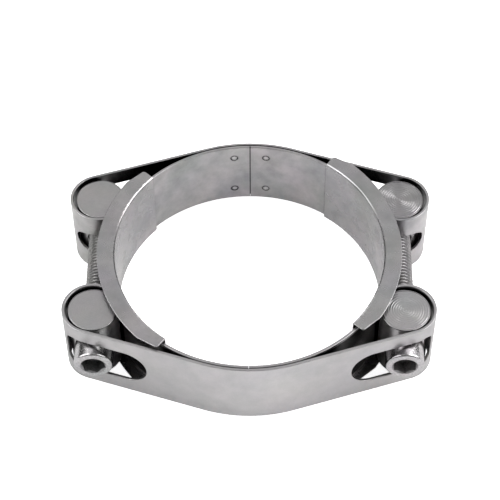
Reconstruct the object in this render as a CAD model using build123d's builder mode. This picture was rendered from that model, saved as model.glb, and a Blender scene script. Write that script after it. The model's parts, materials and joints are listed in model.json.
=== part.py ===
from build123d import *
from math import acos, asin, atan2, cos, degrees, hypot, pi, radians, sin, sqrt
import os

# Two-bolt hose clamp, in millimetres, standing on the bridges' lower flanges with the hose axis upright.
# Two half bands are drawn together by two long socket screws. Each half band is one folded
# steel strip whose ends loop round a pair of upright bars, the trunnions. Two loose channel
# pieces, the bridges, span the gaps between the halves on the hose side.
# Origin: on the hose axis, at the lowest face. +Z up the hose, +Y from the screw heads to the tips.

# What the clamp grips
bore_radius = 105.0             # hose radius at the tightest setting, where the part is drawn
bore_range = 5.0                # how much larger that radius may be at the widest setting

# Folded strip of each half band
strip_width = 64.0              # height of the band along the hose
strip_thickness = 2.5
layer_gap = 0.2                 # air between the two layers where they lie together
forming_offset = 4.0            # how far the band's arc centre lies beyond the hose axis
neck_length = 6.0               # straight run between the ring and the loop
seam_gap = 0.3                  # between the two butted ends of the strip

# Spot welds beside the seam
weld_radius = 3.2
weld_mark_width = 0.9
weld_mark_depth = 0.25
weld_spread = 13.0              # from the seam to each weld, round the ring
weld_rise = 19.5                # from mid height to each weld

# Bridges
bridge_thickness = 1.2
bridge_bend_radius = 0.8        # inside the bend between wall and flange
bridge_clearance = 0.3          # beside and below the band that a bridge slides on
bridge_headroom = 2.8           # above that band
bridge_half_span = 48.0         # degrees either side of its own middle
bridge_float = 12.0             # degrees a bridge may slide either way from the gap
left_bridge_shift = 5.5         # degrees it has slid round the hose as drawn
right_bridge_shift = 6.1
flange_depth = 12.8             # of the flanges beyond the wall's outer face
flange_tip_cut = 3.5            # how far their edge has come in where it meets the bridge's end
flange_tip_run = 8.5            # degrees of the edge that is cut back to the tip
flange_corner = 2.5             # rounding of the tip

# Trunnions
trunnion_diameter = 38.5
trunnion_recess = 2.25          # each end below the strip's edge
trunnion_rim = 0.5              # chamfer round each end
loop_clearance = 1.5            # round a trunnion in the middle of its loop
trunnion_slack = 0.6            # each trunnion lies this far off that middle, towards the hose
seat_offset = 12.0              # from trunnion axis to the face the screw head bears on
seat_clearance = 0.1            # between that face and the head
seat_margin = 1.5               # round the head, in the seat's recess
clearance_hole_margin = 1.0     # round the screw in the front trunnions
thread_clearance = 0.05         # round the screw in the rear trunnions
lead_in_margin = 1.2            # round the screw, in the rear trunnions' lead-in
lead_in_depth = 5.75            # of that lead-in, from the barrel's crown

# Socket screws
screw_diameter = 20.0
screw_length = 140.0
screw_reach = 4.2               # of its tip past the rear trunnion's axis, at the widest setting
head_diameter = 30.0
head_height = 20.0
head_rim = 1.5                  # chamfer round the head's face
screw_tip_chamfer = 1.7
socket_across_flats = 17.0
socket_depth = 10.0
socket_lead_in = 1.2            # depth of the cone round the hexagon's mouth
left_socket_turn = 45.0         # degrees each hexagon has stopped at
right_socket_turn = 30.0

# Slots in the strip
head_slot_margin = 2.5          # above and below the screw head
head_slot_reach = 51.0          # along the strap, from the loop's tangent point to the tip
head_slot_wrap = 40.0           # degrees it runs on round the loop
head_slot_corner = 8.0
screw_slot_margin = 1.2         # above and below the screw, on the gap side of a loop
screw_slot_outer = 55.0         # degrees round the loop, from the screw to the slot's outer end
screw_slot_inner = 40.0         # the same to its inner end, towards the hose


# Heights, from the bridges' lower faces
band_base = bridge_thickness + bridge_clearance
band_top = band_base + strip_width
mid_height = band_base + strip_width / 2
overall_height = band_top + bridge_headroom + bridge_thickness

# Bridges' flanges, from the hose axis
flange_radius = bore_radius + bridge_thickness + flange_depth
flange_tip_radius = flange_radius - flange_tip_cut

# The halves part by half the growth of the hose's girth. The screws still reach through then,
# which sets how far each trunnion's axis stands from the split between the halves.
half_opening = pi * bore_range
trunnion_setback = (screw_length - seat_offset - seat_clearance - half_opening - screw_reach) / 2

# Ring of the rear half: a slightly large arc about a centre behind the hose axis, which just
# clears a bridge's end at the furthest that the bridge can slide.
reach_angle = bridge_half_span + bridge_float
reach_radius = bore_radius + bridge_thickness + bridge_clearance
reach_x = reach_radius * cos(radians(reach_angle))
reach_y = reach_radius * sin(radians(reach_angle))
ring_centre = (0, -forming_offset)
inner_layer_inside = hypot(reach_x, reach_y + forming_offset)
inner_layer_outside = inner_layer_inside + strip_thickness
outer_layer_inside = inner_layer_outside + layer_gap
outer_layer_outside = outer_layer_inside + strip_thickness

# Loops: they stand far enough out for the strip to pass from ring to loop in one short straight.
trunnion_radius = trunnion_diameter / 2
loop_inside = trunnion_radius + loop_clearance
loop_outside = loop_inside + strip_thickness
inner_layer_middle = inner_layer_inside + strip_thickness / 2
outer_layer_middle = outer_layer_inside + strip_thickness / 2
loop_middle = loop_inside + strip_thickness / 2
loop_distance = hypot(inner_layer_middle + loop_middle, neck_length)
loop_rise = trunnion_setback + forming_offset
loop_offset = sqrt(loop_distance**2 - loop_rise**2)
loop_bearing = degrees(atan2(loop_rise, loop_offset))

# Directions, in degrees, of the tangent points that the strap and the neck share with the ring.
strap_angle = loop_bearing + degrees(acos((outer_layer_middle - loop_middle) / loop_distance))
neck_angle = loop_bearing + degrees(acos((inner_layer_middle + loop_middle) / loop_distance))
loop_sweep = strap_angle - (neck_angle - 180)

# Screws: each head bears on its front trunnion, and each tip lies in its rear trunnion.
screw_offset = loop_offset - trunnion_slack
seat_depth = trunnion_radius - seat_offset
head_seat = -(trunnion_setback + seat_offset + seat_clearance)
trunnion_length = strip_width - 2 * trunnion_recess
head_slot_width = head_diameter + 2 * head_slot_margin
screw_slot_width = screw_diameter + 2 * screw_slot_margin


def polar(centre, radius, angle):
    """Point at a radius and an angle, in degrees, from a centre."""
    return (centre[0] + radius * cos(radians(angle)), centre[1] + radius * sin(radians(angle)))


def seam_angle(radius):
    """Angle at which an arc of the ring meets the seam's face."""
    return 90 - degrees(asin(seam_gap / 2 / radius))


loop_centre = (loop_offset, trunnion_setback)


# Rear half band
with BuildPart() as rear_band:
    # Outer layer, both straps and both loops, drawn for the right side and mirrored.
    with BuildSketch(Plane.XY.offset(band_base)):
        with BuildLine():
            CenterArc(ring_centre, outer_layer_outside, strap_angle, 90 - strap_angle)
            Line(polar(ring_centre, outer_layer_outside, strap_angle),
                 polar(loop_centre, loop_outside, strap_angle))
            CenterArc(loop_centre, loop_outside, strap_angle, -loop_sweep)
            Line(polar(loop_centre, loop_outside, neck_angle - 180),
                 polar(loop_centre, loop_inside, neck_angle - 180))
            CenterArc(loop_centre, loop_inside, strap_angle, -loop_sweep)
            Line(polar(loop_centre, loop_inside, strap_angle),
                 polar(ring_centre, outer_layer_inside, strap_angle))
            CenterArc(ring_centre, outer_layer_inside, strap_angle, 90 - strap_angle)
            mirror(about=Plane.YZ)
        make_face()
    extrude(amount=strip_width)

    # A slot in each strap, for the screw's head, and one on each loop's gap side, for the screw.
    for side in (-1, 1):
        strap_normal = Vector(side * cos(radians(strap_angle)), sin(radians(strap_angle)), 0)
        strap_run = Vector(side * sin(radians(strap_angle)), -cos(radians(strap_angle)), 0)
        loop_axis = (side * loop_offset, trunnion_setback, mid_height)
        wrap_run = loop_outside * sin(radians(head_slot_wrap))
        round_end = head_slot_reach - head_slot_width / 2
        with BuildSketch(Plane(loop_axis, x_dir=strap_run, z_dir=strap_normal)) as head_slot:
            with Locations(((wrap_run - round_end) / 2, 0)):
                Rectangle(wrap_run + round_end, head_slot_width)
            fillet(head_slot.vertices().group_by(Axis.X)[-1], radius=head_slot_corner)
            with Locations((-round_end, 0)):
                Circle(head_slot_width / 2)
        extrude(amount=loop_outside, mode=Mode.SUBTRACT)
        slot_outer_run = loop_outside * sin(radians(screw_slot_outer))
        slot_inner_run = loop_outside * sin(radians(screw_slot_inner))
        with BuildSketch(Plane(loop_axis, x_dir=(side, 0, 0), z_dir=(0, -1, 0))):
            with Locations(((slot_outer_run - slot_inner_run) / 2, 0)):
                SlotOverall(slot_outer_run + slot_inner_run, screw_slot_width)
        extrude(amount=loop_outside, mode=Mode.SUBTRACT)

    # Inner layer: from each loop through the neck, then round the ring to the seam.
    with BuildSketch(Plane.XY.offset(band_base)):
        with BuildLine():
            Line(polar(loop_centre, loop_outside, neck_angle - 180),
                 polar(ring_centre, inner_layer_inside, neck_angle))
            CenterArc(ring_centre, inner_layer_inside, neck_angle,
                      seam_angle(inner_layer_inside) - neck_angle)
            Line(polar(ring_centre, inner_layer_inside, seam_angle(inner_layer_inside)),
                 polar(ring_centre, inner_layer_outside, seam_angle(inner_layer_outside)))
            CenterArc(ring_centre, inner_layer_outside, neck_angle,
                      seam_angle(inner_layer_outside) - neck_angle)
            Line(polar(ring_centre, inner_layer_outside, neck_angle),
                 polar(loop_centre, loop_inside, neck_angle - 180))
            Line(polar(loop_centre, loop_inside, neck_angle - 180),
                 polar(loop_centre, loop_outside, neck_angle - 180))
        make_face()
        mirror(about=Plane.YZ)
    extrude(amount=strip_width)

    # Spot welds: a nugget that joins the layers, and the ring that the electrode leaves.
    for side in (-1, 1):
        for level in (-1, 1):
            weld_angle = 90 - side * degrees(weld_spread / inner_layer_inside)
            weld_x, weld_y = polar(ring_centre, inner_layer_inside, weld_angle)
            outward = (cos(radians(weld_angle)), sin(radians(weld_angle)), 0)
            weld_plane = Plane((weld_x, weld_y, mid_height + level * weld_rise),
                               x_dir=(0, 0, 1), z_dir=outward)
            with BuildSketch(weld_plane.offset(strip_thickness / 2)):
                Circle(weld_radius)
            extrude(amount=strip_thickness + layer_gap)
            with BuildSketch(weld_plane.offset(-weld_mark_depth)):
                Circle(weld_radius)
                Circle(weld_radius - weld_mark_width, mode=Mode.SUBTRACT)
            extrude(amount=2 * weld_mark_depth, mode=Mode.SUBTRACT)
rear_band.part.label = "rear_band"

# Front half band: the same folded strip, turned about the hose.
with BuildPart() as front_band:
    mirror(rear_band.part, about=Plane.XZ)
front_band.part.label = "front_band"


def channel_plane(start_angle):
    """Upright plane through the hose axis: X runs outward at the angle, Y runs up."""
    turn = radians(start_angle)
    return Plane((0, 0, 0), x_dir=(cos(turn), sin(turn), 0), z_dir=(sin(turn), -cos(turn), 0))


# Bridges: a channel section bent round the hose, with its flanges' corners cut back.
bridge_parts = {}
for name, middle in (("left_bridge", 180 + left_bridge_shift), ("right_bridge", right_bridge_shift)):
    with BuildPart() as bridge:
        with BuildSketch(channel_plane(middle - bridge_half_span)) as channel:
            with BuildLine():
                Polyline(
                    (flange_radius, 0),
                    (bore_radius, 0),
                    (bore_radius, overall_height),
                    (flange_radius, overall_height),
                    (flange_radius, overall_height - bridge_thickness),
                    (bore_radius + bridge_thickness, overall_height - bridge_thickness),
                    (bore_radius + bridge_thickness, bridge_thickness),
                    (flange_radius, bridge_thickness),
                    close=True,
                )
            make_face()
            fillet(channel.vertices().group_by(Axis.X)[1], radius=bridge_bend_radius)
            fillet(channel.vertices().group_by(Axis.X)[0], radius=bridge_bend_radius + bridge_thickness)
        revolve(axis=Axis.Z, revolution_arc=2 * bridge_half_span)
        for side in (-1, 1):
            end_angle = middle + side * bridge_half_span
            kink_angle = end_angle - side * flange_tip_run
            past_angle = end_angle + side * flange_tip_run
            with BuildSketch(Plane.XY):
                with BuildLine():
                    Polyline(
                        polar((0, 0), flange_radius, kink_angle),
                        polar((0, 0), flange_tip_radius, end_angle),
                        polar((0, 0), flange_tip_radius, past_angle),
                        polar((0, 0), 2 * flange_radius, past_angle),
                        polar((0, 0), 2 * flange_radius, kink_angle),
                        close=True,
                    )
                make_face()
            extrude(amount=overall_height, mode=Mode.SUBTRACT)
        # Of the upright edges, the kinks lie furthest out and the tips next.
        upright = bridge.edges().filter_by(Axis.Z)
        by_radius = upright.group_by(lambda edge: hypot(edge.center().X, edge.center().Y))
        fillet(by_radius[-2], radius=flange_corner)
    bridge.part.label = name
    bridge_parts[name] = bridge.part


# Trunnions: upright round bars inside the loops, drilled across for the screws.
trunnion_parts = {}
for row, row_sign in (("front", -1), ("rear", 1)):
    for column, column_sign in (("left", -1), ("right", 1)):
        axis_x = column_sign * screw_offset
        axis_y = row_sign * trunnion_setback
        # The front ones are counterbored from the front, and the rear ones from the gap.
        crown = Plane((axis_x, axis_y - trunnion_radius, mid_height), x_dir=(1, 0, 0), z_dir=(0, -1, 0))
        with BuildPart() as trunnion:
            with BuildSketch(Plane.XY.offset(mid_height - trunnion_length / 2)):
                with Locations((axis_x, axis_y)):
                    Circle(trunnion_radius)
            extrude(amount=trunnion_length)
            chamfer(trunnion.edges().filter_by(GeomType.CIRCLE), length=trunnion_rim)
            with Locations(crown):
                if row == "front":
                    CounterBoreHole(
                        radius=screw_diameter / 2 + clearance_hole_margin,
                        counter_bore_radius=head_diameter / 2 + seat_margin,
                        counter_bore_depth=seat_depth,
                    )
                else:
                    CounterBoreHole(
                        radius=screw_diameter / 2 + thread_clearance,
                        counter_bore_radius=screw_diameter / 2 + lead_in_margin,
                        counter_bore_depth=lead_in_depth,
                    )
        name = f"{row}_{column}_trunnion"
        trunnion.part.label = name
        trunnion_parts[name] = trunnion.part


# Socket screws: head, shank and hexagonal socket.
screw_parts = {}
for name, column_sign, socket_turn in (("left_screw", -1, left_socket_turn),
                                       ("right_screw", 1, right_socket_turn)):
    seat_plane = Plane((column_sign * screw_offset, head_seat, mid_height),
                       x_dir=(1, 0, 0), z_dir=(0, -1, 0))
    with BuildPart() as screw:
        with BuildSketch(seat_plane):
            Circle(head_diameter / 2)
        extrude(amount=head_height)
        chamfer(screw.faces().sort_by(Axis.Y)[0].edges(), length=head_rim)
        with BuildSketch(seat_plane):
            Circle(screw_diameter / 2)
        extrude(amount=-screw_length)
        chamfer(screw.faces().sort_by(Axis.Y)[-1].edges(), length=screw_tip_chamfer)
        with BuildSketch(seat_plane.offset(head_height)):
            RegularPolygon(socket_across_flats / 2, 6, major_radius=False, rotation=socket_turn)
        extrude(amount=-socket_depth, mode=Mode.SUBTRACT)
        with BuildSketch(seat_plane.offset(head_height)):
            Circle(socket_across_flats / 2 + socket_lead_in)
        extrude(amount=-socket_lead_in, taper=45, mode=Mode.SUBTRACT)
    screw.part.label = name
    screw_parts[name] = screw.part


os.makedirs("parts", exist_ok=True)
export_step(rear_band.part, "parts/rear_band.step")
export_step(front_band.part, "parts/front_band.step")
for pieces in (bridge_parts, trunnion_parts, screw_parts):
    for name, piece in pieces.items():
        export_step(piece, f"parts/{name}.step")

print(f"screw offset {screw_offset:.3f}, loop outside {loop_outside:.3f}, seam at y"
      f" {inner_layer_inside - forming_offset:.3f}, height {overall_height:.3f}")
print(f"strap angle {strap_angle:.2f}, neck angle {neck_angle:.2f}, opening {half_opening:.3f}")
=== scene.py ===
"""Two-bolt hose clamp in bright zinc-plated steel, dressed over its CAD frame.

The half bands, bridges and trunnions get rolled, pressed and turned zinc finishes. The two socket
screws are made anew with their threads, rounded heads and countersunk sockets.
"""

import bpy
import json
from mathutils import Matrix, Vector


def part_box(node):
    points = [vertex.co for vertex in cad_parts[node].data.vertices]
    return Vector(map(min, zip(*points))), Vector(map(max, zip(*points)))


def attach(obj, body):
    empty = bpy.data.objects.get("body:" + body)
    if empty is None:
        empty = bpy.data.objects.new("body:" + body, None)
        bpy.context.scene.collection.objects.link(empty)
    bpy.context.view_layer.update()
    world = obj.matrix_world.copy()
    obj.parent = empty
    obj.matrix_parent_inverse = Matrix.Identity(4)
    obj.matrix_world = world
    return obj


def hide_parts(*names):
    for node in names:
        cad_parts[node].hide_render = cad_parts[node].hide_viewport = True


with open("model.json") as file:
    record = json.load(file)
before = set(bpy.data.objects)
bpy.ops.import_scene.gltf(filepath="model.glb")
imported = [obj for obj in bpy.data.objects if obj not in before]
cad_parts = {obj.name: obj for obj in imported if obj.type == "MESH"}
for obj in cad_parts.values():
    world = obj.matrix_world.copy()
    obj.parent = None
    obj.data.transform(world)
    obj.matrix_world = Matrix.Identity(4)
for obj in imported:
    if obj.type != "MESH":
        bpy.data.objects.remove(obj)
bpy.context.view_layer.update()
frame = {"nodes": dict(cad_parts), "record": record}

import json
import math

import bmesh
import bpy
import numpy as np
from bpy.props import FloatProperty, FloatVectorProperty, IntProperty, PointerProperty
from mathutils import Matrix, Vector

bl_info = {
    "name": "Two-bolt hose clamp",
    "version": (1, 0, 0),
    "blender": (4, 5, 0),
    "location": "3D View > Sidebar > Hose clamp",
    "description": "Dresses the two-bolt hose clamp in zinc-plated steel and sets it on its stage",
    "category": "Object",
}

MM = 0.001
BRIDGES = ("left_bridge", "right_bridge")

# How cloudy the zinc of each half band is
BANDS = {"front_band": 0.12, "rear_band": 0.30}

# Lathe marks and zinc of each bar, turned one by one
TRUNNIONS = {
    "front_left_trunnion": {"depth": 0.7, "roughness": 0.34, "paleness": 1.06},
    "front_right_trunnion": {"depth": 2.5, "roughness": 0.31, "paleness": 1.06},
    "rear_left_trunnion": {"depth": 0.5, "roughness": 0.34, "paleness": 1.05},
    "rear_right_trunnion": {"depth": 4.0, "roughness": 0.30, "paleness": 0.86},
}

# Rows of the thread's surface, as shares of its pitch
THREAD_ROWS = (0.0, 1 / 8, 7 / 16, 9 / 16, 11 / 16)

# How far each bar lies from its loop's middle, towards the hose
BAR_SLACK = 0.6 * MM

NOISE_GAIN = 4.0
SMOOTH_TURN = math.radians(30)
FLAT_TURN = math.radians(0.5)
SAME_PLACE = 0.001 * MM
FINE_SHARE = 0.2

band_low, band_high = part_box("front_band")
left_bar = sum(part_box("front_left_trunnion"), Vector()) / 2
right_bar = sum(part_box("front_right_trunnion"), Vector()) / 2


def length_prop(name, description, default, least=0.0):
    """A length, in metres."""
    return FloatProperty(name=name, description=description, unit="LENGTH", default=default,
                         min=least)


def angle_prop(name, description, degrees):
    """An angle, given in degrees."""
    return FloatProperty(name=name, description=description, subtype="ANGLE",
                         default=math.radians(degrees))


def colour_prop(name, description, default):
    """A colour as red, green and blue from 0 to 1."""
    return FloatVectorProperty(name=name, description=description, subtype="COLOR", size=3,
                               default=default, min=0, max=1)


class ZincFinish(bpy.types.PropertyGroup):
    """Colour and surface of the zinc-plated steel."""

    band_colour: colour_prop(
        "Band colour", "Zinc on the rolled strip of the half bands", (0.43, 0.42, 0.425))
    bridge_colour: colour_prop("Bridge colour", "Zinc on the pressed bridges", (0.42, 0.41, 0.415))
    trunnion_colour: colour_prop("Trunnion colour", "Zinc on the turned bars", (0.39, 0.38, 0.385))
    screw_colour: colour_prop("Screw colour", "Zinc on the socket screws", (0.43, 0.42, 0.425))
    lathe_pitch: length_prop(
        "Lathe mark spacing", "From one turned groove to the next on a bar's end",
        1.85 * MM, least=0.2 * MM)
    strip_edge: length_prop("Strip edge", "Easing of the strip's sheared edges", 0.60 * MM)
    sheet_edge: length_prop("Sheet edge", "Easing of the bridges' edges", 0.40 * MM)
    bar_edge: length_prop("Bar edge", "Easing of the trunnions' edges", 0.20 * MM)
    rim_width: length_prop("Rim width", "How far the rounding of a bar's end comes in from its rim",
                           2.0 * MM, least=0.1 * MM)
    rim_drop: length_prop("Rim drop", "How far the rounding seems to fall at the rim", 0.36 * MM)
    bump: length_prop(
        "Bump", "Height of a bar's surface marks for each unit of their pattern", 0.03 * MM)


class StripPlaces(bpy.types.PropertyGroup):
    """Where the welds and loops lie on a half band, measured from the hose axis."""

    mid_height: length_prop("Mid height", "Half way up the band", (band_low.z + band_high.z) / 2)
    half_width: length_prop(
        "Half width", "From mid height to the band's edge", (band_high.z - band_low.z) / 2)
    weld_spread: length_prop("Weld spread", "From the seam to each weld", 13.0 * MM)
    weld_rise: length_prop("Weld rise", "From mid height to each weld", 19.5 * MM)
    weld_radius: length_prop("Weld radius", "Of the ring that the electrode leaves", 2.9 * MM)
    hose_skin: length_prop(
        "Hose side", "The seam's hose side lies within this distance of the axis", 107.2 * MM)
    loop_x: length_prop("Loop offset", "From the hose axis out to a loop's middle",
                        (right_bar.x - left_bar.x) / 2 + BAR_SLACK)
    loop_y: length_prop(
        "Loop setback", "From the split between the halves to a loop's middle", -right_bar.y)
    loop_radius: length_prop("Loop radius", "Inside a loop", 20.75 * MM)


class ScrewShape(bpy.types.PropertyGroup):
    """Sizes of the socket screws that their CAD solids leave plain."""

    pitch: length_prop(
        "Thread pitch", "From one turn of the thread to the next", 3.0 * MM, least=0.5 * MM)
    thread_depth: length_prop(
        "Thread depth", "From crest to the bottom of the rounded root", 1.75 * MM, least=0.2 * MM)
    thread_diameter: length_prop("Thread diameter", "Over the crests", 20 * MM, least=5 * MM)
    head_height: length_prop("Head height", "From the seat to the face", 20 * MM, least=2 * MM)
    head_round: length_prop(
        "Head rounding", "Radius between the head's barrel and its face", 1.9 * MM, least=0.2 * MM)
    across_flats: length_prop(
        "Socket across flats", "Size of the hexagon key", 17 * MM, least=2 * MM)
    socket_depth: length_prop(
        "Socket depth", "From the head's face to the hexagon's floor", 10 * MM, least=1 * MM)
    lead_in: length_prop(
        "Socket countersink", "How far the countersink stands out from the flats", 1.2 * MM)
    left_turn: angle_prop("Left socket turn", "Where the left hexagon has stopped", 45)
    right_turn: angle_prop("Right socket turn", "Where the right hexagon has stopped", 30)
    columns: IntProperty(
        name="Sides", description="Facets round a screw, a multiple of six", min=24, default=96)


class Studio(bpy.types.PropertyGroup):
    """Floor, soft lights and camera."""

    floor_size: length_prop("Floor size", "Length of the square floor's side", 8.0, least=1)
    floor_colour: colour_prop("Floor colour", "Pale matt floor", (0.92, 0.92, 0.92))
    room_colour: colour_prop("Room colour", "Soft light from all round", (1.0, 1.0, 1.0))
    room_strength: FloatProperty(
        name="Room light", description="Strength of the soft light from the room in front",
        min=0, default=0.22)
    horizon_share: FloatProperty(
        name="Horizon share", description="What is left of the room's light at the floor's level",
        min=0, max=1, default=0.03)
    wall_strength: FloatProperty(
        name="Walls", description="Strength of the soft light from the walls in front and behind",
        min=0, default=0.40)
    panel_strength: FloatProperty(
        name="Ceiling panel", description="Strength of the broad soft panel above and behind",
        min=0, default=0.70)
    panel_rise: angle_prop("Panel rise", "Angle of the panel's middle above the floor", 53)
    panel_edge: FloatProperty(
        name="Panel edge", description="Cosine of the angle at which the panel has faded out",
        min=-1, max=1, default=0.45)
    panel_core: FloatProperty(
        name="Panel core", description="Cosine of the angle within which the panel is even",
        min=-1, max=1, default=0.92)
    floor_glow: FloatProperty(
        name="Floor glow", description="How far the paper is lit from behind",
        min=0, default=0.90)
    softbox_distance: length_prop(
        "Softbox distance", "From the clamp to each soft box", 1.5, least=0.3)
    left_power: FloatProperty(
        name="Left softbox power", description="Power of the left soft box",
        unit="POWER", min=0, default=21.0)
    right_power: FloatProperty(
        name="Right softbox power", description="Power of the right soft box",
        unit="POWER", min=0, default=28.5)
    softbox_size: length_prop("Softbox size", "Side of each square soft box", 1.45, least=0.05)
    left_bearing: angle_prop(
        "Left softbox bearing", "Turn of the left soft box from straight in front", -78)
    right_bearing: angle_prop(
        "Right softbox bearing", "Turn of the right soft box from straight in front", 86)
    softbox_rise: angle_prop("Softbox rise", "Angle of the soft boxes above the floor", 38)
    back_distance: length_prop(
        "Back light distance", "From the clamp to each light behind", 3.0, least=0.3)
    back_power: FloatProperty(
        name="Back light power", description="Power of each of the two lights behind",
        unit="POWER", min=0, default=3.2)
    back_size: length_prop("Back light size", "Side of each square light behind", 0.5, least=0.05)
    back_bearing: angle_prop(
        "Back light bearing", "Turn of each light behind from straight in front", 160)
    back_rise: angle_prop("Back light rise", "Angle of the lights behind above the floor", 27)
    lens: FloatProperty(
        name="Lens", description="Focal length on a 36 mm wide sensor, in millimetres",
        min=10, default=128.393)
    distance: length_prop(
        "Distance", "From the camera to the point that it looks at", 1.43335, least=0.1)
    elevation: angle_prop("Elevation", "Angle of the camera above the floor", 53.0465)
    azimuth: angle_prop(
        "Azimuth", "Turn of the camera about the upright, from straight in front", 0.4734)
    roll: angle_prop("Roll", "Turn of the camera about its own line of sight", -0.2619)
    target: FloatVectorProperty(
        name="Target", description="The point that the camera looks at",
        subtype="TRANSLATION", size=3, default=(0.0002415, 0.0254804, 0.0335))


def calc(tree, operation, *terms, clamp=False):
    """A Math node over sockets and plain numbers, as its output socket."""
    node = tree.nodes.new("ShaderNodeMath")
    node.operation = operation
    node.use_clamp = clamp
    fill(tree, node, terms)
    return node.outputs[0]


def times(tree, product, *factors):
    """The product of sockets and plain numbers, as an output socket."""
    for factor in factors:
        product = calc(tree, "MULTIPLY", product, factor)
    return product


def vector(tree, operation, *terms):
    """A Vector Math node over sockets and plain vectors, as its output socket."""
    node = tree.nodes.new("ShaderNodeVectorMath")
    node.operation = operation
    fill(tree, node, terms)
    return node.outputs["Value" if operation in ("LENGTH", "DOT_PRODUCT") else "Vector"]


def fill(tree, node, terms):
    """Links each socket to the node's input of the same number, or gives the input its value."""
    for slot, term in enumerate(terms):
        if isinstance(term, bpy.types.NodeSocket):
            tree.links.new(term, node.inputs[slot])
        else:
            node.inputs[slot].default_value = term


def ease(tree, value, span, levels):
    """A value that goes smoothly from level to level as the input goes over the span."""
    node = tree.nodes.new("ShaderNodeMapRange")
    node.interpolation_type = "SMOOTHSTEP"
    tree.links.new(value, node.inputs["Value"])
    for label, number in zip(("From Min", "From Max", "To Min", "To Max"), (*span, *levels)):
        node.inputs[label].default_value = number
    return node.outputs["Result"]


def axes(tree, place):
    """The X, Y and Z of a vector, as output sockets."""
    node = tree.nodes.new("ShaderNodeSeparateXYZ")
    tree.links.new(place, node.inputs[0])
    return node.outputs


def mapped(tree, place, label, amount):
    """The coordinates after a Mapping node with that Location or Scale."""
    node = tree.nodes.new("ShaderNodeMapping")
    node.inputs[label].default_value = amount
    tree.links.new(place, node.inputs["Vector"])
    return node.outputs["Vector"]


def noise(tree, place, scale, detail):
    """A Noise node on the given coordinates, as its outputs."""
    node = tree.nodes.new("ShaderNodeTexNoise")
    for label, number in (("Scale", scale), ("Detail", detail), ("Roughness", 0.6)):
        node.inputs[label].default_value = number
    tree.links.new(place, node.inputs["Vector"])
    return node.outputs


def about_nought(tree, outputs):
    """Noise turned into a value about nought: (noise - 0.5) x gain."""
    return calc(tree, "MULTIPLY_ADD", outputs["Fac"], NOISE_GAIN, -NOISE_GAIN / 2)


def lay_out(tree):
    """Spreads a tree's nodes over rows, in the order they were made."""
    row_length, width, height = 8, 220, 340
    for count, node in enumerate(tree.nodes):
        node.location = (count % row_length * width, -(count // row_length) * height)


def group_tree(name):
    """The shader node group of that name, built once from its row in GROUPS."""
    if name in bpy.data.node_groups:
        return bpy.data.node_groups[name]
    build, inputs, outputs = GROUPS[name]
    tree = bpy.data.node_groups.new(name, "ShaderNodeTree")
    for side, sockets in (("INPUT", inputs), ("OUTPUT", outputs)):
        for label, kind in sockets.items():
            tree.interface.new_socket(name=label, in_out=side, socket_type=f"NodeSocket{kind}")
    start = tree.nodes.new("NodeGroupInput").outputs
    end = tree.nodes.new("NodeGroupOutput")
    for label, socket in build(tree, start).items():
        tree.links.new(socket, end.inputs[label])
    lay_out(tree)
    return tree


def place_group(tree, name, links, values):
    """A group node in a material, with its inputs linked or set, as its outputs."""
    node = tree.nodes.new("ShaderNodeGroup")
    node.node_tree = group_tree(name)
    for label, socket in links.items():
        tree.links.new(socket, node.inputs[label])
    for label, number in values.items():
        node.inputs[label].default_value = number
    return node.outputs


def zinc_skin(tree, start):
    """Zinc plate: clouds of two sizes, speckle, drawn grain, faint tints and scattered pits.

    Colour = base colour x (1 + blotch x clouds + fleck x speckle + grain - pits, + tint x three
    separate noises). Roughness = base + spread x (grain - clouds) + pits, but no less than the
    least one. Height = grain + speckle - 2 x pits.
    """
    wide_scale, small_scale, speckle_scale, pit_scale = 24.0, 92.0, 640.0, 64.0
    wide_share, small_share, grain_shade = 0.7, 0.5, 0.12
    rare, pit_edge, least_roughness, pit_depth = 1.05, (0.025, 0.065), 0.12, 2.0

    place = start["Vector"]
    wide = noise(tree, place, wide_scale, 4.0)
    small = about_nought(tree, noise(tree, place, small_scale, 4.0))
    speckle = about_nought(tree, noise(tree, place, speckle_scale, 3.0))
    streak = about_nought(tree, noise(tree, start["Grain vector"], 1.0, 4.0))
    cloud = calc(tree, "MULTIPLY_ADD", about_nought(tree, wide), wide_share,
                 times(tree, small, small_share))
    streak = times(tree, streak, start["Grain"])
    grit = times(tree, speckle, start["Fleck"])

    cells = tree.nodes.new("ShaderNodeTexVoronoi")
    cells.inputs["Scale"].default_value = pit_scale
    tree.links.new(place, cells.inputs["Vector"])
    chosen = calc(tree, "GREATER_THAN", vector(tree, "LENGTH", cells.outputs["Color"]), rare)
    pit = times(tree, ease(tree, cells.outputs["Distance"], pit_edge, (1.0, 0.0)), chosen,
                start["Pits"])

    shade = calc(tree, "MULTIPLY_ADD", cloud, start["Blotch"], 1.0)
    shade = calc(tree, "ADD", shade, grit)
    shade = calc(tree, "MULTIPLY_ADD", streak, grain_shade, shade)
    shade = calc(tree, "SUBTRACT", shade, pit)
    tints = vector(tree, "SUBTRACT", wide["Color"], (0.5, 0.5, 0.5))
    tints = vector(tree, "MULTIPLY", tints, start["Tint"])
    colour = vector(tree, "MULTIPLY", start["Colour"], vector(tree, "ADD", tints, shade))

    dull = calc(tree, "SUBTRACT", streak, cloud)
    dull = calc(tree, "MULTIPLY_ADD", dull, start["Roughness spread"], start["Roughness"])
    dull = calc(tree, "MAXIMUM", calc(tree, "ADD", dull, pit), least_roughness)
    height = calc(tree, "SUBTRACT", calc(tree, "ADD", streak, grit), times(tree, pit, pit_depth))
    return {"Colour": colour, "Roughness": dull, "Height": height}


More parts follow.
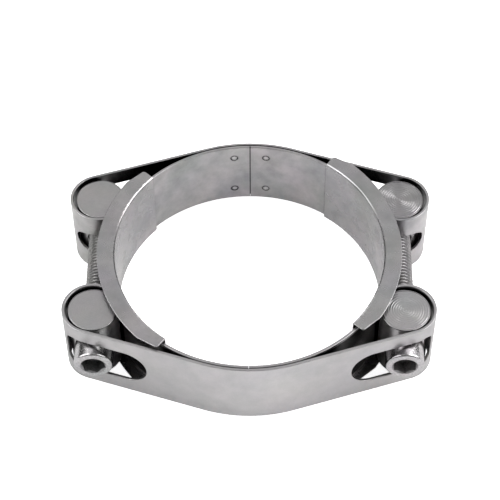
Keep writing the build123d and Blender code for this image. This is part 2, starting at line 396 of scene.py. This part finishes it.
def lathe_marks(tree, start):
    """Turned rings about the Z axis, and the rounding of a bar's end towards its rim.

    Height = depth x patches x sine of distance / spacing - drop x (share of the rim's width)^2. Rim
    is that share, from 0 at the rim's inner edge to 1 at the bar's own edge, and 0 on the barrel.
    """
    wander_scale, wander, patch_scale, patch_span, faintest = 45.0, 0.12, 110.0, (0.36, 0.62), 0.4

    flat = vector(tree, "MULTIPLY", start["Vector"], (1, 1, 0))
    reach = vector(tree, "LENGTH", flat)
    turns = calc(tree, "MULTIPLY_ADD", about_nought(tree, noise(tree, flat, wander_scale, 1.0)),
                 wander, calc(tree, "DIVIDE", reach, start["Spacing"]))
    wave = calc(tree, "SINE", times(tree, turns, 2 * math.pi))
    patches = ease(tree, noise(tree, flat, patch_scale, 2.0)["Fac"], patch_span, (faintest, 1.0))
    rings = times(tree, wave, patches, start["Depth"])
    inside = calc(tree, "SUBTRACT", start["Bar radius"], reach)
    share = calc(tree, "SUBTRACT", 1.0, calc(tree, "DIVIDE", inside, start["Rim width"]),
                 clamp=True)
    rim = times(tree, share, share, start["Rim drop"])
    on_end = calc(tree, "GREATER_THAN",
                  calc(tree, "ABSOLUTE", axes(tree, start["Vector"])["Z"]), start["Half length"])
    return {"Height": calc(tree, "SUBTRACT", rings, rim), "Rim": times(tree, share, on_end)}


def weld_stain(tree, start):
    """Burnt rings round the four spot welds on the hose side of a half band, and its dark seam.

    Distance = length of (|x| - spread, |z - mid height| - rise) / radius + noise. The shade falls
    to a dark ring about 1, broken up by noise and fainter on the right, and is lighter again in the
    middle. It falls again where |x| is under half a millimetre.
    """
    seam_edge, seam_shade = (0.30 * MM, 0.65 * MM), 0.25
    patch_scale, raggedness, patch_span, faintest = 260.0, 1.1, (0.38, 0.56), 0.35
    ring_start, ring_stop, ring_depth = (0.55, 0.8), (0.95, 1.35), 0.85
    middle_edge, middle_gain = (0.25, 0.6), 0.25
    side_span, right_share = (-1 * MM, 1 * MM), 0.6

    split = axes(tree, start["Vector"])
    aside = calc(tree, "ABSOLUTE", split["X"])
    seam = ease(tree, aside, seam_edge, (seam_shade, 1.0))
    across = calc(tree, "SUBTRACT", aside, start["Spread"])
    up = calc(tree, "SUBTRACT", split["Z"], start["Mid height"])
    up = calc(tree, "SUBTRACT", calc(tree, "ABSOLUTE", up), start["Rise"])
    reach = calc(tree, "SQRT", calc(tree, "ADD", times(tree, across, across), times(tree, up, up)))
    share = calc(tree, "DIVIDE", reach, start["Radius"])
    uneven = noise(tree, start["Vector"], patch_scale, 2.0)["Fac"]
    share = calc(tree, "ADD", share,
                 calc(tree, "MULTIPLY_ADD", uneven, raggedness, -raggedness / 2))
    ring = times(tree, ease(tree, share, ring_start, (0.0, 1.0)),
                 ease(tree, share, ring_stop, (1.0, 0.0)),
                 ease(tree, uneven, patch_span, (faintest, 1.0)),
                 ease(tree, split["X"], side_span, (1.0, right_share)))
    middle = ease(tree, share, middle_edge, (1.0, 0.0))
    hose_side = calc(tree, "LESS_THAN", calc(tree, "ABSOLUTE", split["Y"]), start["Skin"])
    shade = calc(tree, "MULTIPLY_ADD", ring, -ring_depth,
                 calc(tree, "MULTIPLY_ADD", middle, middle_gain, 1.0))
    shade = times(tree, shade, seam)
    off = calc(tree, "SUBTRACT", 1.0, hose_side)
    return {"Shade": calc(tree, "MULTIPLY_ADD", shade, hose_side, off)}


def rod_mask(tree, start):
    """1 nearer to the Y axis than the radius, 0 beyond it."""
    flat = vector(tree, "MULTIPLY", start["Vector"], (1, 0, 1))
    return {"Mask": calc(tree, "LESS_THAN", vector(tree, "LENGTH", flat), start["Radius"])}


def loop_shadow(tree, start):
    """Unlit inner wall of the four loops, where it stands close round its trunnion.

    Distance = length of (|x| - loop x, |y| - loop y). Up to half a millimetre past the loop's inner
    radius it is dark, except about mid height, where the slots let light in, and just below the
    edges of the two front loops, whose trunnions lean on them.
    """
    wall_edge, unlit = (0.1 * MM, 0.5 * MM), 0.05
    slot_edge = (14 * MM, 20 * MM)
    rim_edge, rim_light = (1.5 * MM, 3.5 * MM), 0.9

    split = axes(tree, start["Vector"])
    rise = calc(tree, "ABSOLUTE", calc(tree, "SUBTRACT", split["Z"], start["Mid height"]))
    flat = vector(tree, "ABSOLUTE", start["Vector"])
    flat = vector(tree, "SUBTRACT", flat, start["Loop axis"])
    flat = vector(tree, "MULTIPLY", flat, (1, 1, 0))
    past = calc(tree, "SUBTRACT", vector(tree, "LENGTH", flat), start["Radius"])
    shade = ease(tree, past, wall_edge, (unlit, 1.0))
    shade = calc(tree, "MAXIMUM", shade, ease(tree, rise, slot_edge, (1.0, 0.0)))
    front = calc(tree, "LESS_THAN", split["Y"], 0.0)
    rim = ease(tree, calc(tree, "SUBTRACT", start["Half width"], rise), rim_edge, (rim_light, 0.0))
    lit = times(tree, rim, front)
    return {"Shade": calc(tree, "MAXIMUM", shade, lit), "Lit": lit}


# Each node group's function, inputs and outputs
GROUPS = {
    "Zinc skin": (zinc_skin, {
        "Vector": "Vector", "Grain vector": "Vector", "Colour": "Color", "Roughness": "Float",
        "Blotch": "Float", "Fleck": "Float", "Tint": "Float", "Pits": "Float",
        "Roughness spread": "Float", "Grain": "Float",
    }, {"Colour": "Color", "Roughness": "Float", "Height": "Float"}),
    "Lathe marks": (lathe_marks, {
        "Vector": "Vector", "Spacing": "Float", "Depth": "Float", "Bar radius": "Float",
        "Half length": "Float", "Rim width": "Float", "Rim drop": "Float",
    }, {"Height": "Float", "Rim": "Float"}),
    "Weld stain": (weld_stain, {
        "Vector": "Vector", "Spread": "Float", "Rise": "Float", "Mid height": "Float",
        "Radius": "Float", "Skin": "Float",
    }, {"Shade": "Float"}),
    "Rod mask": (rod_mask, {"Vector": "Vector", "Radius": "Float"}, {"Mask": "Float"}),
    "Loop shadow": (loop_shadow, {
        "Vector": "Vector", "Loop axis": "Vector", "Radius": "Float", "Mid height": "Float",
        "Half width": "Float",
    }, {"Shade": "Float", "Lit": "Float"}),
}


def zinc_material(name, colour, grain_scale, skin, hollow_shade, bump=0.03 * MM, lathe=None,
                  strip=None, rod=None):
    """Zinc-plated steel, with its grain scaled along each axis.

    skin holds the values of the zinc skin's inputs. Each tuple of painted shade is (reach, shut,
    open, own): surfaces that can see less than the shut share of the open air within that reach are
    painted black, and from the open share on they are bare. Where own is true, only the piece
    itself is in the way.
    lathe, where given, is (middle of the bar, values) of turned rings and a rounded rim round an
    upright axis. rod, where given, is (axis x, axis z, radius, more roughness, share of the colour
    that is taken away) of a duller rod along Y. strip, where given, holds the sizes that place the
    welds and the loops on a half band.
    """
    unlit, rim_polish = 0.015, 0.5
    material = bpy.data.materials.new(name)
    material.use_nodes = True
    tree = material.node_tree
    tree.nodes.clear()
    link = tree.links.new
    place = tree.nodes.new("ShaderNodeTexCoord").outputs["Object"]
    coat = place_group(tree, "Zinc skin",
                       {"Vector": place, "Grain vector": mapped(tree, place, "Scale", grain_scale)},
                       {"Colour": (*colour, 1), **skin})
    shade, dull, height = coat["Colour"], coat["Roughness"], coat["Height"]
    lit = 0.0

    def darken(by):
        return vector(tree, "MULTIPLY", shade, by)

    if strip is not None:
        welds = place_group(tree, "Weld stain", {"Vector": place},
                            {"Spread": strip.weld_spread, "Rise": strip.weld_rise,
                             "Mid height": strip.mid_height, "Radius": strip.weld_radius,
                             "Skin": strip.hose_skin})
        shade = darken(welds["Shade"])
        loops = place_group(tree, "Loop shadow", {"Vector": place},
                            {"Loop axis": (strip.loop_x, strip.loop_y, 0),
                             "Radius": strip.loop_radius, "Mid height": strip.mid_height,
                             "Half width": strip.half_width})
        shade = darken(loops["Shade"])
        lit = loops["Lit"]
    if lathe is not None:
        middle, values = lathe
        rings = place_group(tree, "Lathe marks",
                            {"Vector": mapped(tree, place, "Location", -middle)}, values)
        height = calc(tree, "ADD", rings["Height"], height)
        dull = calc(tree, "MULTIPLY_ADD", times(tree, rings["Rim"], dull), -rim_polish, dull)
    if rod is not None:
        axis_x, axis_z, radius, more, darker = rod
        inside = place_group(tree, "Rod mask",
                             {"Vector": mapped(tree, place, "Location", (-axis_x, 0, -axis_z))},
                             {"Radius": radius})
        dull = calc(tree, "MULTIPLY_ADD", inside["Mask"], more, dull)
        shade = darken(calc(tree, "MULTIPLY_ADD", inside["Mask"], -darker, 1.0))
    # Painted shade: colour falls towards black where little open air is seen, except where the
    # front loops' painted rim light lifts it
    for reach, shut, clear, own in hollow_shade:
        air = tree.nodes.new("ShaderNodeAmbientOcclusion")
        air.samples = 8
        air.only_local = own
        air.inputs["Distance"].default_value = reach
        seen = ease(tree, air.outputs["AO"], (shut, clear), (unlit, 1.0))
        shade = darken(calc(tree, "MAXIMUM", seen, lit))

    relief = tree.nodes.new("ShaderNodeBump")
    relief.inputs["Distance"].default_value = bump
    shader = tree.nodes.new("ShaderNodeBsdfPrincipled")
    shader.inputs["Metallic"].default_value = 1.0
    output = tree.nodes.new("ShaderNodeOutputMaterial")
    link(shade, shader.inputs["Base Color"])
    link(dull, shader.inputs["Roughness"])
    link(height, relief.inputs["Height"])
    link(relief.outputs["Normal"], shader.inputs["Normal"])
    link(shader.outputs[0], output.inputs["Surface"])
    lay_out(tree)
    return material


def read(items, key, width=1, kind=float):
    """The items' values of that key, as a numpy array with a row for each."""
    values = np.empty(len(items) * width, kind)
    items.foreach_get(key, values)
    return values.reshape(-1, width) if width > 1 else values


def corner_normals(mesh, cut, hard_angle):
    """Normals for a mesh's corners, with those of its cut faces bent to the faces beside them.

    Each corner looks for the uncut face at its vertex that is nearest in direction to its own face.
    Its normal = mean of the uncut faces there within the hard angle of that one, weighted by their
    area times their angle at the vertex. Where only cut faces meet, all of them count.
    """
    vertex = read(mesh.loops, "vertex_index", kind=int)
    total = read(mesh.polygons, "loop_total", kind=int)
    face = np.repeat(np.arange(len(total)), total)
    normal, area = read(mesh.polygons, "normal", 3)[face], read(mesh.polygons, "area")[face]
    place, cut = read(mesh.vertices, "co", 3)[vertex], cut[face]

    corner, stop = np.arange(len(vertex)), np.cumsum(total)[face]
    start = stop - total[face]
    ahead = place[np.where(corner + 1 == stop, start, corner + 1)] - place
    behind = place[np.where(corner == start, stop, corner) - 1] - place
    spread = np.arccos(np.clip((ahead * behind).sum(axis=1) / (
        np.linalg.norm(ahead, axis=1) * np.linalg.norm(behind, axis=1)), -1, 1))
    weight = area * spread

    # Every pair of corners that share a vertex, each corner with itself too
    count = np.bincount(vertex)
    sharing = count[vertex]
    first = np.repeat(corner, sharing)
    step = np.arange(len(first)) - np.repeat(np.cumsum(sharing) - sharing, sharing)
    second = np.argsort(vertex, kind="stable")[(np.cumsum(count) - count)[vertex[first]] + step]

    none = -2.0
    closeness = np.where(cut[second], none, (normal[first] * normal[second]).sum(axis=1))
    best = np.full(len(vertex), none)
    np.maximum.at(best, first, closeness)
    guide = normal.copy()
    nearest = (closeness == best[first]) & (best[first] > none)
    guide[first[nearest]] = normal[second[nearest]]
    near = (guide[first] * normal[second]).sum(axis=1) > math.cos(hard_angle)
    counted = np.where(best[first] > none, near & ~cut[second], True)
    result = np.zeros((len(vertex), 3))
    np.add.at(result, first, (counted * weight[second])[:, None] * normal[second])
    size = np.linalg.norm(result, axis=1, keepdims=True)
    return np.where(size > 0, result / np.where(size > 0, size, 1), normal)


def rounded_copy(node, edge_radius, material, fine=None, hard_angle=SMOOTH_TURN):
    """Makes a copy of a CAD solid with its hard edges eased, standing for the solid itself.

    The copy's triangles are merged, and those that lie in one plane are joined. Each outer edge
    that turns by more than the hard angle is cut back by the edge radius, or by a share of it where
    fine(point) says so of both its ends. A second material slot marks the cuts until their corners
    have taken the normals of the surfaces on either side, so that light runs round the edge.
    """
    name = f"finished_{node}"
    work = bmesh.new()
    work.from_mesh(frame["nodes"][node].data)
    bmesh.ops.remove_doubles(work, verts=work.verts, dist=SAME_PLACE)
    bmesh.ops.dissolve_limit(work, angle_limit=FLAT_TURN, verts=work.verts, edges=work.edges)
    share = work.edges.layers.float.new("bevel_weight_edge")
    for edge in work.edges:
        if edge.is_convex and edge.calc_face_angle(0) > hard_angle:
            narrow = fine is not None and all(fine(end.co) for end in edge.verts)
            edge[share] = FINE_SHARE if narrow else 1.0
    for face in work.faces:
        face.material_index = 0
    mesh = bpy.data.meshes.new(name)
    work.to_mesh(mesh)
    work.free()
    mesh.shade_smooth()
    mesh.materials.clear()
    mesh.materials.append(material)
    mesh.materials.append(material)
    piece = bpy.data.objects.new(name, mesh)
    bpy.context.scene.collection.objects.link(piece)
    arc = piece.modifiers.new("Eased edges", "BEVEL")
    arc.limit_method = "WEIGHT"
    arc.width = edge_radius
    arc.segments = 1
    arc.use_clamp_overlap = False
    arc.material = 1
    view = bpy.context.evaluated_depsgraph_get()
    finished = bpy.data.meshes.new_from_object(piece.evaluated_get(view), depsgraph=view)
    piece.modifiers.clear()
    piece.data = finished
    bpy.data.meshes.remove(mesh)
    finished.name = name
    marks = read(finished.polygons, "material_index", kind=int)
    finished.polygons.foreach_set("material_index", np.zeros_like(marks))
    finished.materials.pop(index=1)
    finished.normals_split_custom_set(corner_normals(finished, marks == 1, hard_angle))
    body = next(name for name, nodes in frame["record"]["behaviour"]["bodies"].items()
                if node in nodes)
    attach(piece, body)
    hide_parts(node)


def ring_points(centre_x, centre_z, y, radius, theta):
    """Points at (centre_x + radius x sin theta, y, centre_z + radius x cos theta)."""
    y, radius, theta = np.broadcast_arrays(y, radius, theta)
    return np.stack((centre_x + radius * np.sin(theta), y, centre_z + radius * np.cos(theta)),
                    axis=-1)


def grid_quads(rows, columns, first, wrap_step, outward_down):
    """Quads of a grid that closes round its columns, as vertex numbers counted from first.

    Past the last column comes column 0, wrap_step rows further on. outward_down turns each quad
    over, for a grid whose rows run towards -Y.
    """
    row, column = np.meshgrid(np.arange(rows - 1 - wrap_step), np.arange(columns), indexing="ij")
    beyond = np.where(column == columns - 1, wrap_step, 0)
    after = (column + 1) % columns
    a = row * columns + column
    b = (row + beyond) * columns + after
    c = (row + beyond + 1) * columns + after
    d = (row + 1) * columns + column
    order = (a, d, c, b) if outward_down else (a, b, c, d)
    return first + np.stack([corner.ravel() for corner in order], axis=-1)


def thread_rows(seat, tip, sizes, columns):
    """Y and radius of a right-handed thread, on rows that follow the helix.

    Y = base + pitch x (turn of the column), with five rows to a turn: crest, crest, flank's foot,
    root, flank's foot. Radius = crest radius - depth of the row x run-out, kept within a 45 degree
    cone at the tip. Y is held between the seat and the tip, so the first and last rows close up
    into rings.
    """
    foot_share, tip_relief, spare_turns, run_out_turns = 0.9, 0.2 * MM, 2, 2
    pitch = sizes.pitch
    crest = sizes.thread_diameter / 2
    foot = sizes.thread_depth * foot_share
    offsets = np.array(THREAD_ROWS) * pitch
    depths = np.array((0.0, 0.0, foot, sizes.thread_depth, foot))
    turns = math.ceil((tip - seat) / pitch) + 2 * spare_turns
    base = (seat + (np.arange(turns)[:, None] - spare_turns) * pitch + offsets).ravel()
    depth = np.tile(depths, turns)
    y = base[:, None] + pitch * np.arange(columns)[None, :] / columns
    run_out = np.clip((y - seat - pitch) / (run_out_turns * pitch), 0, 1)
    run_out = run_out * run_out * (3 - 2 * run_out)
    radius = crest - depth[:, None] * run_out
    tip_radius = crest - sizes.thread_depth - tip_relief
    radius = np.minimum(radius, np.maximum(tip_radius, tip_radius + tip - y))
    return np.clip(y, seat, tip), radius


def head_rows(face, seat, head_radius, sizes, theta, corner):
    """Y and radius of the head's rows, from under the head, over its rounded edge, to the socket.

    The hexagon's radius = half the flats / cosine of the angle from the nearest flat's middle. The
    countersink is a 45 degree cone that runs in until it meets the hexagon.
    """
    barrel_foot, land, lip, ledge = 0.4 * MM, 0.25 * MM, 0.04 * MM, 0.01 * MM
    drill_point, arc_rows = 1.5 * MM, 9
    crest = sizes.thread_diameter / 2
    flat = sizes.across_flats / 2
    mouth = flat + sizes.lead_in
    third = math.pi / 3
    hexagon = flat / np.cos(np.mod(theta - corner, third) - third / 2)
    cone_foot = face + lip + np.clip(mouth - hexagon, 0, None)
    floor = face + sizes.socket_depth
    rows = [(seat, crest), (seat, head_radius - barrel_foot), (seat - barrel_foot, head_radius)]
    for angle in np.linspace(0, math.pi / 2, arc_rows):
        rows.append((face + sizes.head_round * (1 - math.sin(angle)),
                     head_radius - sizes.head_round * (1 - math.cos(angle))))
    rows += [(face, mouth + land), (face + lip, mouth), (cone_foot, np.minimum(hexagon, mouth)),
             (cone_foot + ledge, hexagon), (floor, hexagon), (floor + drill_point, 0)]
    return [np.array([np.broadcast_to(part, theta.shape) for part in parts])
            for parts in zip(*rows)]


def threaded_screw(name, node, turn, sizes):
    """A socket screw about the axis of its CAD solid, as one closed surface.

    Three grids share their end rings: the thread from the seat to the tip, a flat cap on the tip,
    and the head. Points are (radius x sin theta, y, radius x cos theta) about the axis.
    """
    low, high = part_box(node)
    centre_x, centre_z = (low.x + high.x) / 2, (low.z + high.z) / 2
    head_radius = (high.x - low.x) / 2
    face, tip = low.y, high.y
    seat = face + sizes.head_height
    columns = sizes.columns
    corner = math.pi / 2 - turn
    theta = corner + 2 * math.pi * np.arange(columns) / columns

    thread_y, thread_radius = thread_rows(seat, tip, sizes, columns)
    cap_y = np.array((tip, tip))[:, None] * np.ones(columns)
    cap_radius = np.stack((np.full(columns, thread_radius[-1, 0]), np.zeros(columns)))
    head_y, head_r = head_rows(face, seat, head_radius, sizes, theta, corner)

    points, faces, first = [], [], 0
    for y, radius, wrap_step, down in ((thread_y, thread_radius, len(THREAD_ROWS), False),
                                       (cap_y, cap_radius, 0, False),
                                       (head_y, head_r, 0, True)):
        grid = ring_points(centre_x, centre_z, y, radius, theta[None, :])
        faces.append(grid_quads(len(y), columns, first, wrap_step, down))
        points.append(grid.reshape(-1, 3))
        first += len(points[-1])
    return closed_piece(name, np.concatenate(points), np.concatenate(faces))


def closed_piece(name, points, quads):
    """A mesh object of the points and quads, its doubled points merged and hard edges marked."""
    decimals, sharp_turn = 8, math.radians(28)
    mesh = bpy.data.meshes.new(name)
    kept, index = np.unique(np.round(points, decimals), axis=0, return_inverse=True)
    quads = index.reshape(-1)[quads]
    following = np.roll(quads, -1, axis=1)
    repeats = quads == following
    quad_rows = quads[~repeats.any(axis=1)]
    single = repeats.sum(axis=1) == 1
    triangles = quads[single][~repeats[single]].reshape(-1, 3)
    triangles = triangles[(triangles != np.roll(triangles, -1, axis=1)).all(axis=1)]
    mesh.from_pydata(kept, [], quad_rows.tolist() + triangles.tolist())
    mesh.validate()
    mesh.shade_smooth()
    mesh.set_sharp_from_angle(angle=sharp_turn)
    piece = bpy.data.objects.new(name, mesh)
    bpy.context.scene.collection.objects.link(piece)
    return piece


def direction_to(bearing, rise):
    """The direction with that turn from straight in front and that angle above the floor."""
    return Vector((math.sin(bearing) * math.cos(rise), -math.cos(bearing) * math.cos(rise),
                   math.sin(rise)))


class HOSECLAMP_OT_bands(bpy.types.Operator):
    """Finish the two folded half bands in rolled zinc-plated strip"""
    bl_idname = "hose_clamp.bands"
    bl_label = "Half bands"

    def execute(self, context):
        finish = context.scene.hose_clamp_finish
        strip = context.scene.hose_clamp_strip

        # Painted shade in the hollows of the loops and straps, and where parts touch
        in_loop_shade = (30 * MM, 0.74, 0.92, True)
        contact_shade = (3 * MM, 0.60, 0.95, False)
        weld_reach = 1.6 * strip.weld_radius
        seam_reach = 1 * MM
        middle_start = 100 * MM

        def near_weld(point):
            """Whether a point lies by a weld ring or the seam."""
            across = abs(abs(point.x) - strip.weld_spread)
            up = abs(abs(point.z - strip.mid_height) - strip.weld_rise)
            by_ring = max(across, up) < weld_reach and abs(point.y) > middle_start
            return by_ring or abs(point.x) < seam_reach

        for node, blotch in BANDS.items():
            material = zinc_material(
                f"Zinc strip {node}", finish.band_colour, (26, 26, 300),
                {"Roughness": 0.33, "Roughness spread": 0.05, "Grain": 0.05, "Blotch": blotch,
                 "Fleck": 0.035, "Tint": blotch / 2, "Pits": 0.35},
                (in_loop_shade, contact_shade), strip=strip)
            rounded_copy(node, finish.strip_edge, material, near_weld)
        return {"FINISHED"}


class HOSECLAMP_OT_bridges(bpy.types.Operator):
    """Finish the two pressed bridges in zinc-plated sheet"""
    bl_idname = "hose_clamp.bridges"
    bl_label = "Bridges"

    def execute(self, context):
        finish = context.scene.hose_clamp_finish
        # Painted shade where the bridge's own channel closes round the band
        under_band_shade = (20 * MM, 0.25, 0.55, True)
        for node in BRIDGES:
            material = zinc_material(
                f"Zinc sheet {node}", finish.bridge_colour, (40, 40, 200),
                {"Roughness": 0.27, "Roughness spread": 0.03, "Grain": 0.03, "Blotch": 0.22,
                 "Fleck": 0.02, "Tint": 0.14, "Pits": 0.15}, (under_band_shade,))
            rounded_copy(node, finish.sheet_edge, material)
        return {"FINISHED"}


class HOSECLAMP_OT_trunnions(bpy.types.Operator):
    """Finish the four trunnions as turned bar, with lathe marks on their ends"""
    bl_idname = "hose_clamp.trunnions"
    bl_label = "Trunnions"

    def execute(self, context):
        finish = context.scene.hose_clamp_finish
        # Painted shade on the bars where other parts close round them
        in_loop_shade = (4 * MM, 0.04, 0.30, False)
        end_margin = 0.05 * MM
        rim_turn = math.radians(50)
        for node, look in TRUNNIONS.items():
            low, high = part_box(node)
            turned = {"Spacing": finish.lathe_pitch, "Depth": look["depth"],
                      "Bar radius": (high.x - low.x) / 2,
                      "Half length": (high.z - low.z) / 2 - end_margin,
                      "Rim width": finish.rim_width, "Rim drop": finish.rim_drop / finish.bump}
            colour = [part * look["paleness"] for part in finish.trunnion_colour]
            material = zinc_material(
                f"Turned zinc {node}", colour, (300, 300, 40),
                {"Roughness": look["roughness"], "Roughness spread": 0.05, "Grain": 0.2,
                 "Blotch": 0.10, "Fleck": 0.05, "Tint": 0.12, "Pits": 0.3},
                (in_loop_shade,), bump=finish.bump, lathe=((low + high) / 2, turned))
            rounded_copy(node, finish.bar_edge, material, hard_angle=rim_turn)
        return {"FINISHED"}


class HOSECLAMP_OT_screws(bpy.types.Operator):
    """Make the two socket screws with their threads and sockets"""
    bl_idname = "hose_clamp.screws"
    bl_label = "Socket screws"

    def execute(self, context):
        finish = context.scene.hose_clamp_finish
        sizes = context.scene.hose_clamp_screws
        # Painted shade in the hexagon socket and between the thread's turns
        socket_and_thread_shade = (14 * MM, 0.03, 0.56, True)
        rod_radius = sizes.thread_diameter / 2 + 0.1 * MM
        more_roughness, darker = 0.18, 0.33
        for node, turn in (("left_screw", sizes.left_turn), ("right_screw", sizes.right_turn)):
            low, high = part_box(node)
            axis = ((low.x + high.x) / 2, (low.z + high.z) / 2)
            material = zinc_material(
                f"Zinc {node}", finish.screw_colour, (300, 300, 300),
                {"Roughness": 0.24, "Roughness spread": 0.05, "Grain": 0.2, "Blotch": 0.16,
                 "Fleck": 0.32, "Tint": 0.12, "Pits": 0.2}, (socket_and_thread_shade,), bump=0.05 * MM,
                rod=(*axis, rod_radius, more_roughness, darker))
            piece = threaded_screw(f"threaded_{node}", node, turn, sizes)
            piece.data.materials.append(material)
            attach(piece, node)
            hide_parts(node)
        return {"FINISHED"}


class HOSECLAMP_OT_stage(bpy.types.Operator):
    """Lay the pale floor, set the soft lights and place the camera"""
    bl_idname = "hose_clamp.stage"
    bl_label = "Stage"

    def execute(self, context):
        scene = context.scene
        studio = scene.hose_clamp_studio
        half = studio.floor_size / 2
        mesh = bpy.data.meshes.new("floor")
        mesh.from_pydata([(-half, -half, 0), (half, -half, 0), (half, half, 0), (-half, half, 0)],
                         [], [(0, 1, 2, 3)])
        floor = bpy.data.objects.new("floor", mesh)
        scene.collection.objects.link(floor)
        floor.data.materials.append(self.paper(studio))

        scene.world = self.room(studio)
        for name, bearing, power, back_bearing in (
                ("left", studio.left_bearing, studio.left_power, -studio.back_bearing),
                ("right", studio.right_bearing, studio.right_power, studio.back_bearing)):
            self.softbox(scene, studio, f"{name}_softbox", bearing, studio.softbox_rise,
                         studio.softbox_distance, studio.softbox_size, power)
            self.softbox(scene, studio, f"{name}_back_light", back_bearing, studio.back_rise,
                         studio.back_distance, studio.back_size, studio.back_power)
        self.camera(scene, studio)
        scene.view_settings.view_transform = "Standard"
        return {"FINISHED"}

    @staticmethod
    def room(studio):
        """A dim room with a broad soft panel above and behind, and two pale walls.

        Brightness rises smoothly with the cosine of the angle from the panel's middle and fades low
        down. Above the floor it rises again with how far a direction points to the wall in front or
        the wall behind.
        """
        low_sky, wall_foot, wall_span = (0.30, 0.76), (0.0, 0.15), (0.72, 0.92)
        world = bpy.data.worlds.new("Soft room")
        world.use_nodes = True
        tree = world.node_tree
        background = tree.nodes["Background"]
        direction = tree.nodes.new("ShaderNodeTexCoord").outputs["Generated"]
        toward = vector(tree, "DOT_PRODUCT", direction,
                        (0, math.cos(studio.panel_rise), math.sin(studio.panel_rise)))
        glow = ease(tree, toward, (studio.panel_edge, studio.panel_core),
                    (studio.room_strength, studio.panel_strength))
        split = axes(tree, direction)
        lift = ease(tree, split["Z"], low_sky, (studio.horizon_share, 1.0))
        wall = times(tree, ease(tree, split["Z"], wall_foot, (0.0, 1.0)),
                     ease(tree, calc(tree, "ABSOLUTE", split["Y"]), wall_span,
                          (0.0, studio.wall_strength)))
        tree.links.new(calc(tree, "MULTIPLY_ADD", glow, lift, wall),
                       background.inputs["Strength"])
        background.inputs["Color"].default_value = (*studio.room_colour, 1)
        lay_out(tree)
        return world

    @staticmethod
    def paper(studio):
        """Matt paper, lit a little from behind where it is seen straight on."""
        paper = bpy.data.materials.new("Pale floor")
        paper.use_nodes = True
        tree = paper.node_tree
        tree.nodes.clear()
        ray = tree.nodes.new("ShaderNodeLightPath")
        shader = tree.nodes.new("ShaderNodeBsdfPrincipled")
        for label, value in (("Base Color", (*studio.floor_colour, 1)), ("Roughness", 0.9),
                             ("Specular IOR Level", 0.0), ("Emission Color", (1, 1, 1, 1))):
            shader.inputs[label].default_value = value
        output = tree.nodes.new("ShaderNodeOutputMaterial")
        tree.links.new(times(tree, ray.outputs["Is Camera Ray"], studio.floor_glow),
                       shader.inputs["Emission Strength"])
        tree.links.new(shader.outputs[0], output.inputs["Surface"])
        lay_out(tree)
        return paper

    @staticmethod
    def softbox(scene, studio, name, bearing, rise, distance, size, power):
        """A square area light at a bearing from straight in front, facing the clamp."""
        light = bpy.data.lights.new(name, "AREA")
        light.shape = "SQUARE"
        light.size = size
        light.energy = power
        lamp = bpy.data.objects.new(name, light)
        away = direction_to(bearing, rise)
        lamp.location = Vector(studio.target) + away * distance
        lamp.rotation_euler = away.to_track_quat("Z", "Y").to_euler()
        scene.collection.objects.link(lamp)

    @staticmethod
    def camera(scene, studio):
        """The camera looks at the target along a line given by its azimuth and elevation."""
        data = bpy.data.cameras.new("camera")
        data.sensor_width = 36
        data.lens = studio.lens
        data.clip_start = 0.05
        data.clip_end = 50
        camera = bpy.data.objects.new("camera", data)
        back = direction_to(studio.azimuth, studio.elevation)
        right = (-back).cross(Vector((0, 0, 1))).normalized()
        up = right.cross(-back)
        turned_right = right * math.cos(studio.roll) + up * math.sin(studio.roll)
        turned_up = up * math.cos(studio.roll) - right * math.sin(studio.roll)
        camera.matrix_world = Matrix.Translation(
            Vector(studio.target) + back * studio.distance
        ) @ Matrix((turned_right, turned_up, back)).transposed().to_4x4()
        scene.collection.objects.link(camera)
        scene.camera = camera


class HOSECLAMP_PT_panel(bpy.types.Panel):
    """Lists the clamp's pieces and their settings"""
    bl_idname = "HOSECLAMP_PT_panel"
    bl_label = "Hose clamp"
    bl_space_type = "VIEW_3D"
    bl_region_type = "UI"
    bl_category = "Hose clamp"

    def draw(self, context):
        column = self.layout.column()
        for operator in OPERATORS:
            column.operator(operator.bl_idname)
        for name in SETTINGS:
            box = self.layout.box()
            settings = getattr(context.scene, name)
            for key in settings.bl_rna.properties.keys():
                if key not in ("rna_type", "name"):
                    box.prop(settings, key)


OPERATORS = (HOSECLAMP_OT_bands, HOSECLAMP_OT_bridges, HOSECLAMP_OT_trunnions,
             HOSECLAMP_OT_screws, HOSECLAMP_OT_stage)
SETTINGS = {"hose_clamp_finish": ZincFinish, "hose_clamp_strip": StripPlaces,
            "hose_clamp_screws": ScrewShape, "hose_clamp_studio": Studio}
CLASSES = (*SETTINGS.values(), *OPERATORS, HOSECLAMP_PT_panel)


def register():
    """Registers the classes and hangs the settings on the scene."""
    for cls in CLASSES:
        bpy.utils.register_class(cls)
    for name, cls in SETTINGS.items():
        setattr(bpy.types.Scene, name, PointerProperty(type=cls))


def unregister():
    """Takes the settings and the classes away again."""
    for name in SETTINGS:
        delattr(bpy.types.Scene, name)
    for cls in reversed(CLASSES):
        bpy.utils.unregister_class(cls)


def main():
    register()
    bpy.ops.hose_clamp.bands()
    bpy.ops.hose_clamp.bridges()
    bpy.ops.hose_clamp.trunnions()
    bpy.ops.hose_clamp.screws()
    bpy.ops.hose_clamp.stage()


if __name__ == "__main__":
    main()
